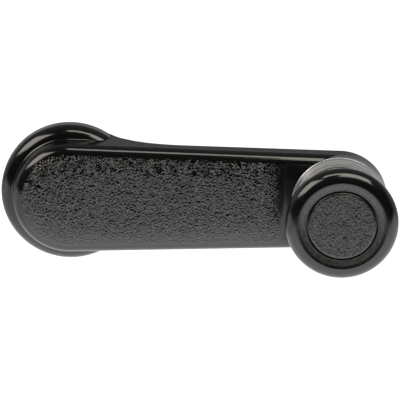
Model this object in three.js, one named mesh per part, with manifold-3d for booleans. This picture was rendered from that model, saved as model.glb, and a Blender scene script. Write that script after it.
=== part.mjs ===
// A car window winder handle, in millimetres: a black moulded arm on a splined hub, with a knob that spins.
// It is drawn on the bench with X from the spindle to the knob and Z out of the door.
// At the end it is stood up, so that +Z is up and the door side faces +Y.
// The spindle's axis runs through the origin.
import * as THREE from "three";
import { mergeVertices } from "three/addons/utils/BufferGeometryUtils.js";
import Module from "manifold-3d";

const wasm = await Module();
wasm.setup();

// Shared sizes
const centreDistance = 96.5; // spindle axis to knob axis
const gap = 0.3; // room between two pieces that touch on the real handle
const overrun = 1; // how far a cutter passes the face that it cuts
const fullTurn = 360; // degrees

// Hub flange, the round foot of the arm against the door
const flangeRadius = 24.75;
const flangeHeight = 8.9; // door side to where the flange meets the arm's side
const flangeRound = 4.5; // big quarter-round in front
const flangeBackRound = 0.8;
const flangeWall = 2.4;
const pocketDepth = 5;

// Arm
const armHubRadius = 19.85; // side of the arm round the hub, where the rounded shoulder starts
const armEndRadius = 17; // the same round the knob
const edgeHeight = 13.2; // door side to the start of the shoulder
const shoulderRise = 3.7; // from there to the textured face
const shoulderInset = 3.7;
const sideDraft = 0.25; // how much wider the arm is at its back edge
const backHeight = 9.8; // door side to the arm's back edge
const endBackHeight = 8.9; // the same at the knob's end
// The underside's curve from the flange to the back edge: its two ends and two pulls
const sweepStart = 14;
const sweepPull = [18.5, 6.5];
const sweepReach = 27;
const sweepEnd = 42;
const armWall = 2.2;
const faceSkin = 2.6;

// Ribs under the arm and in the hub
const ribThick = 1.6;
const ribStart = 26; // hub side end of the hollow, from the spindle axis
const ribPitch = 13;
const ribSetback = 0.5;
const hubRibs = 12;
const hubLandRadius = 16.6; // flat land round the bore

// Steel core strap
const coreThick = 1.6;
const coreHeight = 10.8; // door side to the strap
const coreWidth = 14;
const coreHubRadius = 11.8;
const coreEndRadius = 9;

// Splined hub insert and its clip track
const insertHeight = 3.8; // door side to the face that the clip slides on
const insertRadius = 12;
const insertHexRadius = 8;
const insertSpigotRadius = 7;
const insertSpigotRise = 2.2;
const insertRoof = 1;
const socketRadius = 5; // crests of the splines
const splineDepth = 0.55;
const splineTeeth = 24;
const railLength = 12;
const railThick = 1.6;
const railLip = 1.4;
const railLipThick = 0.9;

// Spring retaining clip
const clipThick = 1.3;
const clipHalfWidth = 8.4;
const clipGrip = 4.3; // half of the opening that grips the spindle's groove
const clipEyeRadius = 6.2; // wide eye behind the grip, which makes the legs springy
const clipEyeOffset = 5.5; // spindle axis to the middle of the eye
const clipLegLength = 6.5;
const clipGripLength = 3;
const clipFlare = 1.2;

// Screws that hold the strap
const screwHeadRadius = 3;
const screwHeadThick = 1.2;
const screwRadius = 1.5;
const screwSlotWidth = 0.8;
const screwSlotDepth = 0.6;
const screwLength = 4.6;
const screwFirst = 39.4; // from the spindle axis
const screwSpacing = 26;

// Knob pin and its backing washer
const pinRadius = 3;
const pinTailRadius = 4.6;
const pinTailThick = 1.3;
const pinWasherRadius = 6.2;
const pinWasherThick = 1;
const pinBossRadius = 11;
const pinTopAboveNut = 0.7;
const pinChamfer = 0.5;

// Fixed collar under the knob
const collarTopRadius = 14.9;
const collarFlare = 2.1; // how much wider the collar is where it meets the arm
const collarHollowing = 1.3; // power of the flare's curve: 1 is a straight cone
const collarHeight = 5.4;
const collarFloor = 2.2;
const collarWall = 2.4;
const collarBossRadius = 6.2;
const collarBossDrop = 0.6; // boss top below the collar's rim

// Washers on the pin
const thrustThick = 1;
const thrustRadius = 6.5;
const waveThick = 0.4;
const waveRise = 0.35;
const waveRadius = 6.6;
const waveLobes = 3;
const lobeSides = 12;
const nutThick = 0.8;
const nutRadius = 5.6;
const nutDishRise = 0.5;

// Knob
const knobHeight = 23.3; // bottom edge to the crest of the rim
const knobWaistRadius = 13.9;
const knobRimRadius = 19.7;
const knobCrestRadius = 15.45;
const knobRimRise = 19.1; // bottom edge to the widest part
const neckPull = 5.5; // how strongly the neck's curve holds its direction at each end
const rimTuck = (52 * Math.PI) / 180; // how far the rim's round goes on below the widest part
const knobDish = 0.8; // crest down to the edge of the cap
const knobWall = 2.4;
const knobWeb = 2.4;
const knobHubWall = 2.6;
const capSeatDepth = 2.4;
const capSeatWidth = 2;
const knobCavity = 4.5; // cap seat to the floor under it
const ferruleHeight = 3.8; // metal ring round the foot of the knob's neck
const ferruleWall = 0.8; // how deep the ring sits behind the neck's waist

// Sleeve bush in the knob
const bushWall = 1.6;
const bushFlangeRadius = 7.5;
const bushFlangeThick = 1;

// Textured cap in the knob
const capRadius = 12.15;
const capThick = 2.3;
const capRound = 0.5;
const capSkirtWall = 0.9;
const capSkirtDrop = 2.6;

// Counts of flat sides, for smoothness
const hexSides = 6;
const bigSides = 64;
const smallSides = 28;
const roundSteps = 5;
const bigRoundSteps = 8;
const sweepSteps = 14;
const neckSteps = 10;
const rimSteps = 12;

// Heights out of the door that follow from the sizes above
const faceHeight = edgeHeight + shoulderRise;
const ceilingHeight = faceHeight - faceSkin;
const coreTop = coreHeight + coreThick;
const coreSeat = coreTop + gap;
const spigotBase = coreSeat;
const spigotTop = spigotBase + insertSpigotRise;
const clipBottom = insertHeight - gap - clipThick;
const lipTop = clipBottom - gap;
const trackHeight = insertHeight + gap;
const collarBase = faceHeight + gap;
const collarBaseRadius = collarTopRadius + collarFlare;
const collarRim = collarBase + collarHeight;
const collarBossTop = collarRim - collarBossDrop;
const thrustBase = collarBossTop + gap;
const knobBase = collarRim + gap;
const knobHubBase = thrustBase + thrustThick + gap;
const ferruleTop = knobBase + ferruleHeight;
const ferruleBore = knobWaistRadius - ferruleWall;
const knobCrest = knobBase + knobHeight;
const capEdge = knobCrest - knobDish;
const capSeat = capEdge - capSeatDepth;
const knobFloor = capSeat - knobCavity;
const bushBore = pinRadius + gap;
const bushRadius = bushBore + bushWall;
const knobBore = bushRadius + gap;
const bushFlangeBase = knobFloor + gap;
const waveBase = bushFlangeBase + bushFlangeThick + gap;
const nutBase = waveBase + waveRise + waveThick + gap;
const pinTop = nutBase + nutThick + nutDishRise + pinTopAboveNut;
const washerBase = coreHeight - gap - pinWasherThick;
const tailBase = washerBase - gap - pinTailThick;
const capBase = capSeat + gap;
const capWell = capRadius + gap;
const capInner = capWell - capSeatWidth;

// Finishes
const blackPlastic = { color: 0x18181a, roughness: 0.32, metalness: 0 };
const grainedPlastic = { color: 0x1c1c1e, roughness: 0.5, metalness: 0 };
const nylon = { color: 0xd9d6c8, roughness: 0.55, metalness: 0 };
const zinc = { color: 0x9a9c9d, roughness: 0.45, metalness: 1 };
const steel = { color: 0x8b8f93, roughness: 0.35, metalness: 1 };
const springSteel = { color: 0x3c3f44, roughness: 0.4, metalness: 1 };
const satinMetal = { color: 0xc8c9cc, roughness: 0.3, metalness: 1 };

// Solids: a three.js geometry becomes a manifold-3d solid for joins and cuts, and comes back as a geometry.
function solid(geometry) {
  const bare = geometry.clone();
  bare.deleteAttribute("normal");
  bare.deleteAttribute("uv");
  const merged = mergeVertices(bare, 1e-4);
  const vertProperties = new Float32Array(merged.attributes.position.array);
  const triVerts = new Uint32Array(merged.index.array);
  let made = new wasm.Manifold(new wasm.Mesh({ numProp: 3, vertProperties, triVerts }));
  if (made.volume() < 0) {
    for (let i = 0; i < triVerts.length; i += 3) {
      [triVerts[i + 1], triVerts[i + 2]] = [triVerts[i + 2], triVerts[i + 1]];
    }
    made = new wasm.Manifold(new wasm.Mesh({ numProp: 3, vertProperties, triVerts }));
  }
  return made;
}

function geometryOf(made) {
  const mesh = made.getMesh();
  const geometry = new THREE.BufferGeometry();
  geometry.setAttribute("position", new THREE.BufferAttribute(mesh.vertProperties, mesh.numProp));
  geometry.setIndex(new THREE.BufferAttribute(mesh.triVerts, 1));
  geometry.computeVertexNormals();
  return geometry;
}

function joined(solids) {
  return solids.reduce((all, next) => all.add(next));
}

// A ring or disc turned about the Z axis from a closed profile of [radius, height] pairs.
function turned(profile, sides = bigSides) {
  const points = profile.map(([radius, height]) => new THREE.Vector2(radius, height));
  const closed = profile.every(([radius]) => radius > 0);
  if (closed) points.push(points[0].clone());
  return solid(new THREE.LatheGeometry(points, sides).rotateX(Math.PI / 2));
}

// A washer or tube, square in section.
function tube(inner, outer, base, top, sides = smallSides) {
  return turned([[inner, base], [outer, base], [outer, top], [inner, top]], sides);
}

function disc(radius, base, top, sides = smallSides) {
  return turned([[0, base], [radius, base], [radius, top], [0, top]], sides);
}

function block(x0, x1, y0, y1, z0, z1) {
  const box = new THREE.BoxGeometry(x1 - x0, y1 - y0, z1 - z0);
  return solid(box.translate((x0 + x1) / 2, (y0 + y1) / 2, (z0 + z1) / 2));
}

function plate(shape, base, thick, sides = smallSides) {
  const options = { depth: thick, bevelEnabled: false, curveSegments: sides };
  return solid(new THREE.ExtrudeGeometry(shape, options).translate(0, 0, base));
}

// Turns from 0 to a right angle in even steps.
function quarterTurns(steps) {
  return Array.from({ length: steps + 1 }, (_, i) => (Math.PI / 2) * (i / steps));
}

// The arm's outline: a big circle round the spindle and a small one round the knob, with their two tangents.
function armOutline(offset) {
  const hub = armHubRadius + offset;
  const end = armEndRadius + offset;
  const tangent = Math.acos((hub - end) / centreDistance);
  const points = [];
  const half = bigSides / 2;
  for (let i = 0; i <= half; i++) {
    const turn = -tangent + (2 * tangent * i) / half;
    points.push([centreDistance + end * Math.cos(turn), end * Math.sin(turn)]);
  }
  for (let i = 0; i <= half; i++) {
    const turn = tangent + (2 * (Math.PI - tangent) * i) / half;
    points.push([hub * Math.cos(turn), hub * Math.sin(turn)]);
  }
  return points;
}

// A closed skin through the arm's outline at a list of [height, offset] levels.
function armSkin(levels) {
  const positions = [];
  const index = [];
  const rings = levels.map(([height, offset]) => armOutline(offset).map(([x, y]) => [x, y, height]));
  const count = rings[0].length;
  rings.flat().forEach((point) => positions.push(...point));
  for (let level = 0; level + 1 < rings.length; level++) {
    for (let i = 0; i < count; i++) {
      const next = (i + 1) % count;
      const low = level * count;
      const high = low + count;
      index.push(low + i, low + next, high + next, low + i, high + next, high + i);
    }
  }
  const caps = THREE.ShapeUtils.triangulateShape(rings[0].map(([x, y]) => new THREE.Vector2(x, y)), []);
  const last = (rings.length - 1) * count;
  for (const [a, b, c] of caps) index.push(c, b, a, last + a, last + b, last + c);
  const geometry = new THREE.BufferGeometry();
  geometry.setAttribute("position", new THREE.Float32BufferAttribute(positions, 3));
  geometry.setIndex(index);
  return solid(geometry);
}

// How far the arm's side stands out from its front edge at a height.
function draftAt(height) {
  return (sideDraft * (edgeHeight - height)) / (edgeHeight - backHeight);
}

// Arm: outer form
function armBody() {
  const levels = [[0, draftAt(0)], [edgeHeight, 0]];
  for (const turn of quarterTurns(roundSteps).slice(1)) {
    levels.push([edgeHeight + shoulderRise * Math.sin(turn), shoulderInset * (Math.cos(turn) - 1)]);
  }
  return armSkin(levels).add(collarFoot()).subtract(underside());
}

// The arm's end rises to full height under the collar, so that the collar's flare runs down into it.
function collarFoot() {
  const profile = [
    [0, edgeHeight],
    [armEndRadius, edgeHeight],
    [collarBaseRadius, faceHeight],
    [0, faceHeight],
  ];
  return turned(profile).translate(centreDistance, 0, 0);
}

// What lies between the arm and the door: it leaves the hub whole and sweeps up to the back edge.
function underside() {
  const far = centreDistance + armEndRadius + sideDraft + overrun;
  const shape = new THREE.Shape();
  shape.moveTo(sweepStart, -overrun);
  shape.lineTo(sweepStart, 0);
  shape.bezierCurveTo(...sweepPull, sweepReach, backHeight, sweepEnd, backHeight);
  shape.lineTo(centreDistance, endBackHeight);
  shape.lineTo(far, endBackHeight);
  shape.lineTo(far, -overrun);
  shape.closePath();
  const width = 2 * (flangeRadius + overrun);
  const options = { depth: width, bevelEnabled: false, curveSegments: sweepSteps };
  const side = new THREE.ExtrudeGeometry(shape, options);
  return solid(side.rotateX(Math.PI / 2).translate(0, width / 2, 0));
}

function flange() {
  const profile = [[0, 0]];
  for (const turn of quarterTurns(roundSteps)) {
    profile.push([
      flangeRadius - flangeBackRound * (1 - Math.sin(turn)),
      flangeBackRound * (1 - Math.cos(turn)),
    ]);
  }
  for (const turn of quarterTurns(bigRoundSteps)) {
    profile.push([
      flangeRadius - flangeRound * (1 - Math.cos(turn)),
      flangeHeight - flangeRound * (1 - Math.sin(turn)),
    ]);
  }
  profile.push([0, flangeHeight]);
  return turned(profile);
}

// Arm: the pockets in its back, as the solid to cut away. A bed for the strap runs down the middle.
function armHollow() {
  const end = centreDistance + armEndRadius;
  const inner = -armWall;
  const room = armSkin([[-overrun, inner + draftAt(0)], [ceilingHeight, inner]]);
  const kept = [
    block(-flangeRadius, ribStart, -flangeRadius, flangeRadius, -overrun, ceilingHeight),
    disc(pinBossRadius, -overrun, ceilingHeight).translate(centreDistance, 0, 0),
  ];
  const rail = coreWidth / 2 + gap + ribThick;
  kept.push(block(ribStart - overrun, end, -rail, rail, backHeight + ribSetback, ceilingHeight));
  for (let x = ribStart + ribPitch; x < centreDistance - pinBossRadius; x += ribPitch) {
    const edges = [x - ribThick / 2, x + ribThick / 2];
    kept.push(block(...edges, -flangeRadius, flangeRadius, backHeight + ribSetback, ceilingHeight));
  }
  return room.subtract(joined(kept));
}

// Where the strap lies: its channel in the bed and its tunnel into the hub
function coreChannel() {
  const rail = coreWidth / 2 + gap;
  const tunnel = block(0, centreDistance, -rail, rail, coreHeight - gap, coreSeat);
  const open = block(ribStart, centreDistance, -rail, rail, -overrun, coreSeat);
  const end = disc(coreEndRadius + gap, -overrun, coreSeat).translate(centreDistance, 0, 0);
  return joined([tunnel, open, end]);
}

function screwPlaces() {
  return [screwFirst, screwFirst + screwSpacing];
}

// Hub: the bore for the insert, the clip's track and the pockets between radial ribs
function hubCuts() {
  const bore = disc(insertRadius + gap, -overrun, coreSeat, bigSides);
  const spigot = disc(insertSpigotRadius + gap, 0, spigotTop + gap);
  const outer = flangeRadius - flangeWall;
  const ring = tube(hubLandRadius, outer, -overrun, pocketDepth, bigSides);
  const track = clipHalfWidth + 2 * gap;
  const kept = [block(0, flangeRadius, -track - ribThick, track + ribThick, -overrun, pocketDepth)];
  for (let i = 0; i < hubRibs; i++) {
    const rib = block(0, flangeRadius, -ribThick / 2, ribThick / 2, -overrun, pocketDepth);
    kept.push(rib.rotate([0, 0, (fullTurn * i) / hubRibs]));
  }
  const clipTrack = block(0, flangeRadius + overrun, -track, track, -overrun, trackHeight);
  return joined([bore, spigot, ring.subtract(joined(kept)), clipTrack]);
}

function armShell() {
  const holes = screwPlaces().map((x) => {
    const deep = coreHeight - gap + screwLength + gap;
    return disc(screwRadius + gap, 0, deep).translate(x, 0, 0);
  });
  const pinHole = disc(pinRadius + gap, 0, faceHeight + overrun).translate(centreDistance, 0, 0);
  return armBody()
    .add(flange())
    .subtract(armHollow())
    .subtract(coreChannel())
    .subtract(hubCuts())
    .subtract(joined([...holes, pinHole]));
}

function hexagon(radius) {
  const corners = Array.from({ length: hexSides }, (_, i) => {
    const turn = (2 * Math.PI * i) / hexSides;
    return new THREE.Vector2(radius * Math.cos(turn), radius * Math.sin(turn));
  });
  return new THREE.Shape(corners);
}

// Core strap
function armCore() {
  const half = coreWidth / 2;
  const hubAngle = Math.asin(half / coreHubRadius);
  const endAngle = Math.asin(half / coreEndRadius);
  const shape = new THREE.Shape();
  shape.absarc(0, 0, coreHubRadius, hubAngle, 2 * Math.PI - hubAngle, false);
  shape.absarc(centreDistance, 0, coreEndRadius, -Math.PI + endAngle, Math.PI - endAngle, false);
  shape.closePath();
  shape.holes.push(hexagon(insertHexRadius + gap));
  for (const [x, radius] of [[centreDistance, pinRadius], ...screwPlaces().map((x) => [x, screwRadius])]) {
    shape.holes.push(new THREE.Path().absarc(x, 0, radius + gap, 0, 2 * Math.PI, true));
  }
  return plate(shape, coreHeight, coreThick);
}

// Hub insert: drum, hexagon for the strap, spigot, splined socket and the two clip rails
function hubInsert() {
  const drumTop = coreHeight - gap;
  const drum = disc(insertRadius, insertHeight, drumTop, bigSides);
  const nut = plate(hexagon(insertHexRadius), insertHeight, spigotBase - insertHeight);
  const spigot = disc(insertSpigotRadius, insertHeight, spigotTop);
  const rails = [-1, 1].map((side) => {
    const inner = clipHalfWidth + gap;
    const wall = [side * inner, side * (inner + railThick)].sort((a, b) => a - b);
    const lip = [side * (inner - railLip), side * (inner + railThick)].sort((a, b) => a - b);
    const ends = [-railLength / 2, railLength / 2];
    const post = block(...ends, ...wall, lipTop - railLipThick, insertHeight + gap);
    return post.add(block(...ends, ...lip, lipTop - railLipThick, lipTop));
  });
  const round = disc(insertRadius, lipTop - railLipThick, insertHeight + gap, bigSides);
  const held = joined(rails).intersect(round);
  return joined([drum, nut, spigot, held]).subtract(socket());
}

function socket() {
  const shape = new THREE.Shape();
  for (let i = 0; i < 2 * splineTeeth; i++) {
    const turn = (Math.PI * i) / splineTeeth;
    const radius = socketRadius + (i % 2) * splineDepth;
    const point = [radius * Math.cos(turn), radius * Math.sin(turn)];
    if (i === 0) shape.moveTo(...point);
    else shape.lineTo(...point);
  }
  shape.closePath();
  return plate(shape, 0, spigotTop - insertRoof);
}

// Retaining clip: a horseshoe of flat spring steel. Its grip crosses the spindle's groove, and pulling its
// round end towards the knob draws the flared legs off the spindle.
function retainingClip() {
  const shape = new THREE.Shape();
  const neck = clipEyeOffset - Math.sqrt(clipEyeRadius ** 2 - clipGrip ** 2);
  const open = Math.asin(clipGrip / clipEyeRadius);
  shape.moveTo(-clipLegLength, -clipHalfWidth);
  shape.lineTo(clipEyeOffset, -clipHalfWidth);
  shape.absarc(clipEyeOffset, 0, clipHalfWidth, -Math.PI / 2, Math.PI / 2, false);
  shape.lineTo(-clipLegLength, clipHalfWidth);
  shape.lineTo(-clipLegLength, clipGrip + clipFlare);
  shape.lineTo(-clipGripLength, clipGrip);
  shape.lineTo(neck, clipGrip);
  shape.absarc(clipEyeOffset, 0, clipEyeRadius, Math.PI - open, -Math.PI + open, true);
  shape.lineTo(-clipGripLength, -clipGrip);
  shape.lineTo(-clipLegLength, -clipGrip - clipFlare);
  shape.closePath();
  return plate(shape, clipBottom, clipThick);
}

// Thread-forming screw with a slotted head
function coreScrew() {
  const headTop = coreHeight - gap;
  const headBase = headTop - screwHeadThick;
  const profile = [
    [0, headBase],
    [screwHeadRadius - screwSlotDepth, headBase],
    [screwHeadRadius, headBase + screwSlotDepth],
    [screwHeadRadius, headTop],
    [screwRadius, headTop],
    [screwRadius, headTop + screwLength - screwRadius],
    [0, headTop + screwLength],
  ];
  const body = turned(profile, smallSides);
  const half = screwSlotWidth / 2;
  const reach = screwHeadRadius + overrun;
  return body.subtract(block(-reach, reach, -half, half, headBase - overrun, headBase + screwSlotDepth));
}

// Knob pin: a rivet whose tail is peened over the backing washer
function knobPin() {
  return turned(
    [
      [0, tailBase],
      [pinTailRadius - pinChamfer, tailBase],
      [pinTailRadius, tailBase + pinChamfer],
      [pinTailRadius, tailBase + pinTailThick],
      [pinRadius, tailBase + pinTailThick],
      [pinRadius, pinTop - pinChamfer],
      [pinRadius - pinChamfer, pinTop],
      [0, pinTop],
    ],
    smallSides,
  );
}

function knobCollar() {
  const profile = [[bushBore, collarBase]];
  for (let i = 0; i <= bigRoundSteps; i++) {
    const share = i / bigRoundSteps;
    const radius = collarTopRadius + collarFlare * (1 - share) ** collarHollowing;
    profile.push([radius, collarBase + collarHeight * share]);
  }
  profile.push(
    [collarTopRadius - collarWall, collarRim],
    [collarTopRadius - collarWall, collarBase + collarFloor],
    [collarBossRadius, collarBase + collarFloor],
    [collarBossRadius, collarBossTop],
    [bushBore, collarBossTop],
  );
  return turned(profile);
}

// Wave washer: a thin ring whose height runs up and down in lobes
function waveWasher() {
  const inner = pinRadius + gap;
  const points = [
    [inner, waveBase],
    [waveRadius, waveBase],
    [waveRadius, waveBase + waveThick],
    [inner, waveBase + waveThick],
    [inner, waveBase],
  ].map(([radius, height]) => new THREE.Vector2(radius, height));
  const ring = new THREE.LatheGeometry(points, waveLobes * lobeSides).rotateX(Math.PI / 2);
  const place = ring.attributes.position;
  for (let i = 0; i < place.count; i++) {
    const turn = Math.atan2(place.getY(i), place.getX(i));
    place.setZ(i, place.getZ(i) + (waveRise / 2) * (1 + Math.cos(waveLobes * turn)));
  }
  return solid(ring);
}

// Push nut: a dished ring pressed on the pin
function pushNut() {
  const inner = pinRadius + gap;
  return turned(
    [
      [nutRadius, nutBase],
      [nutRadius, nutBase + nutThick],
      [inner, nutBase + nutThick + nutDishRise],
      [inner, nutBase + nutDishRise],
    ],
    smallSides,
  );
}

// Knob: the neck narrows to a waist, swells to the rim, rolls over the crest and dips to the cap
function knobOutside() {
  const rimThick = knobCrest - knobBase - knobRimRise;
  const rimDeep = knobRimRadius - knobCrestRadius;
  const rimPoint = (turn) => [
    knobCrestRadius + rimDeep * Math.cos(turn),
    knobCrest - rimThick * (1 - Math.sin(turn)),
  ];
  const [tuckRadius, tuckHeight] = rimPoint(-rimTuck);
  const neckCurve = new THREE.CubicBezierCurve(
    new THREE.Vector2(collarTopRadius, knobBase),
    new THREE.Vector2(knobWaistRadius, knobBase + neckPull),
    new THREE.Vector2(
      tuckRadius - neckPull * Math.sin(rimTuck),
      tuckHeight - neckPull * Math.cos(rimTuck),
    ),
    new THREE.Vector2(tuckRadius, tuckHeight),
  );
  const profile = neckCurve.getPoints(neckSteps).map((point) => [point.x, point.y]);
  for (let i = 1; i <= rimSteps; i++) {
    profile.push(rimPoint(-rimTuck + ((Math.PI / 2 + rimTuck) * i) / rimSteps));
  }
  for (let i = 1; i <= roundSteps; i++) {
    const share = i / roundSteps;
    profile.push([
      knobCrestRadius + (capWell - knobCrestRadius) * share,
      knobCrest - (knobDish * (1 - Math.cos(Math.PI * share))) / 2,
    ]);
  }
  return profile;
}

function knobBlank() {
  const hub = knobBore + knobHubWall;
  const skirt = knobWaistRadius - knobWall;
  const web = knobFloor - knobWeb;
  return turned([
    [skirt, knobBase],
    ...knobOutside(),
    [capWell, capSeat],
    [capInner, capSeat],
    [capInner, knobFloor],
    [knobBore, knobFloor],
    [knobBore, knobHubBase],
    [hub, knobHubBase],
    [hub, web],
    [skirt, web],
  ]);
}

function knobBody() {
  return knobBlank().subtract(footOfNeck(ferruleBore - gap, ferruleTop + gap));
}

// The ring is cut from the knob's own outline, so that the two lie flush.
function knobFerrule() {
  return knobBlank().intersect(footOfNeck(ferruleBore, ferruleTop));
}

function footOfNeck(inner, top) {
  return tube(inner, knobRimRadius, knobBase - overrun, top, bigSides);
}

function knobBush() {
  return turned(
    [
      [bushBore, knobHubBase],
      [bushRadius, knobHubBase],
      [bushRadius, bushFlangeBase],
      [bushFlangeRadius, bushFlangeBase],
      [bushFlangeRadius, bushFlangeBase + bushFlangeThick],
      [bushBore, bushFlangeBase + bushFlangeThick],
    ],
    smallSides,
  );
}

function knobCap() {
  const top = capBase + capThick;
  const skirt = capInner - gap;
  return turned([
    [0, capBase],
    [skirt - capSkirtWall, capBase],
    [skirt - capSkirtWall, capBase - capSkirtDrop],
    [skirt, capBase - capSkirtDrop],
    [skirt, capBase],
    [capRadius, capBase],
    [capRadius, top - capRound],
    [capRadius - capRound * (1 - Math.SQRT1_2), top - capRound * (1 - Math.SQRT1_2)],
    [capRadius - capRound, top],
    [0, top],
  ]);
}

// Assembly
function piece(name, made, finish) {
  const mesh = new THREE.Mesh(geometryOf(made), new THREE.MeshStandardMaterial(finish));
  mesh.name = name;
  return mesh;
}

const handle = new THREE.Group();
handle.add(
  piece("arm_shell", armShell(), grainedPlastic),
  piece("arm_core", armCore(), steel),
  piece("hub_insert", hubInsert(), zinc),
  piece("retaining_clip", retainingClip(), springSteel),
);
["core_screw_inner", "core_screw_outer"].forEach((name, i) => {
  const screw = piece(name, coreScrew(), steel);
  screw.position.x = screwPlaces()[i];
  handle.add(screw);
});

// Everything on the knob's axis
const knobStack = new THREE.Group();
knobStack.position.x = centreDistance;
knobStack.add(
  piece("knob_pin", knobPin(), steel),
  piece("pin_washer", tube(pinRadius + gap, pinWasherRadius, washerBase, washerBase + pinWasherThick), steel),
  piece("knob_collar", knobCollar(), satinMetal),
  piece("thrust_washer", tube(bushBore, thrustRadius, thrustBase, thrustBase + thrustThick), nylon),
  piece("knob_bush", knobBush(), nylon),
  piece("knob_body", knobBody(), blackPlastic),
  piece("knob_ferrule", knobFerrule(), satinMetal),
  piece("wave_washer", waveWasher(), springSteel),
  piece("push_nut", pushNut(), springSteel),
  piece("knob_cap", knobCap(), grainedPlastic),
);
handle.add(knobStack);

// Stand the handle up as it hangs on the door
handle.rotation.x = Math.PI / 2;

export default handle;
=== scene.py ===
"""A car window winder handle in Blender: a grained arm, a round flange and a spinning knob."""
import math

import bmesh
import bpy
from mathutils import Matrix, Vector, noise

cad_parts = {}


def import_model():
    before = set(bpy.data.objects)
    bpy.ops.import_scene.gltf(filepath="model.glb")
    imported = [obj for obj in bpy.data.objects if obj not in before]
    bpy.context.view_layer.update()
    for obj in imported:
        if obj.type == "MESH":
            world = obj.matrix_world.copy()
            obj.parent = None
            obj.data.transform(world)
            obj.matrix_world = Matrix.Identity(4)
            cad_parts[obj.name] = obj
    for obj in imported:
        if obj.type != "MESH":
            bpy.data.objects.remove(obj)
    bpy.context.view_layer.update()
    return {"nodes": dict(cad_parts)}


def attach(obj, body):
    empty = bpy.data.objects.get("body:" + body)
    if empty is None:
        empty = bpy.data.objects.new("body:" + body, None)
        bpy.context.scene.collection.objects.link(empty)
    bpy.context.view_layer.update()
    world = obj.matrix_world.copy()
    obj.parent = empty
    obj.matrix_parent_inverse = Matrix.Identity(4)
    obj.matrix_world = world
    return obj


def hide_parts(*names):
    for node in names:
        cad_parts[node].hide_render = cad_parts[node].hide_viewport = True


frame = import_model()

nodes = frame["nodes"]
MM = 0.001

# Sizes in millimetres, as in the CAD part. Heights run out of the door, towards -Y.

CENTRES = 96.5  # the spindle's axis to the knob's
GAP = 0.3  # clearance between pieces
SKIN = 0.03  # how far a modelled skin stands proud of the solid under it
LIFT = 0.01  # how far one skin laps over another
SLACK = 0.01  # for telling which side of a size a face lies on

# Arm
HUB_R = 19.85
END_R = 17.0
EDGE_H = 13.2  # where the rounded shoulder starts
SHOULDER = 3.7  # radius of the shoulder
FACE_H = EDGE_H + SHOULDER
ARM_BACK_H = 9.8
SIDE_DRAFT = 0.25  # how far the side leans out from the edge to the back
DRAFT = SIDE_DRAFT / (EDGE_H - ARM_BACK_H)  # the same per millimetre
TANGENT = math.acos((HUB_R - END_R) / CENTRES)  # direction of the long sides' normals
# The wall's back edge: distance along the arm, and height. Six of its stations, 16.1 to 34.2, are
# what a measuring script printed for the photo's outline, with the heights mostly adjusted by
# hand. It lies up to 0.17 mm off the CAD part's curve, whose two ends and pulls it should use.
BACK_EDGE = [
    (14.0, 0.0), (15.0, 1.3), (16.1, 2.6), (18.0, 4.2), (19.8, 5.3), (21.6, 6.25), (23.8, 7.3),
    (27.1, 8.35), (30.6, 9.15), (34.2, 9.6), (38.0, 9.77), (42.0, 9.8), (96.5, 8.9), (120, 8.9),
]
WALL_BACK = 6.0  # where the wall ends inside the flange
WALL_LAP = 0.15

# Grained pad on the arm's face
PAD_INSET = 3.3  # in from the side to the middle of the grain's border
PAD_END = 75.3
PAD_FADE = 1.6
PAD_END_FADE = 4.2
PAD_PEBBLE, CAP_PEBBLE = 1.9, 1.7  # size of the grain in the mesh
PAD_SEED, CAP_SEED = 1.7, 5.3
GRAIN = 0.014  # its depth
# Slow crown of the pad: distance in from the side, and rise
PILLOW = [
    (2.4, 0.0), (3.2, 0.1), (4.2, 0.35), (5.2, 0.6), (6.2, 0.81), (7.2, 0.96), (8.2, 1.06),
    (9.5, 1.14), (11.5, 1.2), (14, 1.23), (20, 1.24),
]
HUB_CROWN, ARM_CROWN = 1.36, 1.12  # shares of that rise on the hub and along the arm
CROWN_TURNS = (-4, 22)  # where the one share passes into the other
CROWN_ENDS = (68.5, 77)

# Hub flange
FLANGE_R = 24.75
FLANGE_H = 8.9
FLANGE_ROUND = 4.5
FLANGE_BACK_ROUND = 0.8
FLANGE_LAP = 1.5  # how far its skin runs in under the arm
JUNCTION = 0.85  # radius of the fillet between the flange and the arm's side
JUNCTION_LEAST = 0.02
JUNCTION_REACH = 9.0  # how far along the arm it runs out
CLIP_TRACK = 9.2  # half the width of the clip's opening in the flange
CLIP_TRACK_TOP = 4.3

# Arm's end under the collar
FOOT_SKIN = 0.02
FOOT_LAP = 0.4
FOOT_TAPER = 0.04  # how far it narrows on each of two stretches
FOOT_TAPER_H = 1.7  # how far below the face the first of them ends
FOOT_ROUND = 0.2
FOOT_INNER_R = 13.0

# Collar
COLLAR_BASE = 17.2
COLLAR_RIM = 22.6
COLLAR_R = 17.0
COLLAR_TOP_R = 14.9
COLLAR_CURVE = 1.1  # power of the flare's curve
COLLAR_BORE_R = 3.3
COLLAR_WALL = 2.4
COLLAR_FLOOR = COLLAR_BASE + 2.2
COLLAR_BOSS_R = 6.2
COLLAR_BOSS_H = 22.0
COLLAR_EDGE = 0.1  # round of its lowest edge
COLLAR_LIP = [(0.02, 0.4), (0.13, 0.5)]  # chamfer above it: in from the side, and up from the base
CONE_IN, CONE_UP = 0.16, 0.6  # where the cone starts over the chamfer
CONE_ROWS = 30
GROOVE_ROWS = (9, 15, 20)  # rows of the cone that carry a fine groove
GROOVE = 0.05
RIM_ROUND = 0.35  # of the collar's rim and the ring's lower edge
SHADE_DOWN = 0.45  # how far the parting line's painted shade reaches down from the rim
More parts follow.
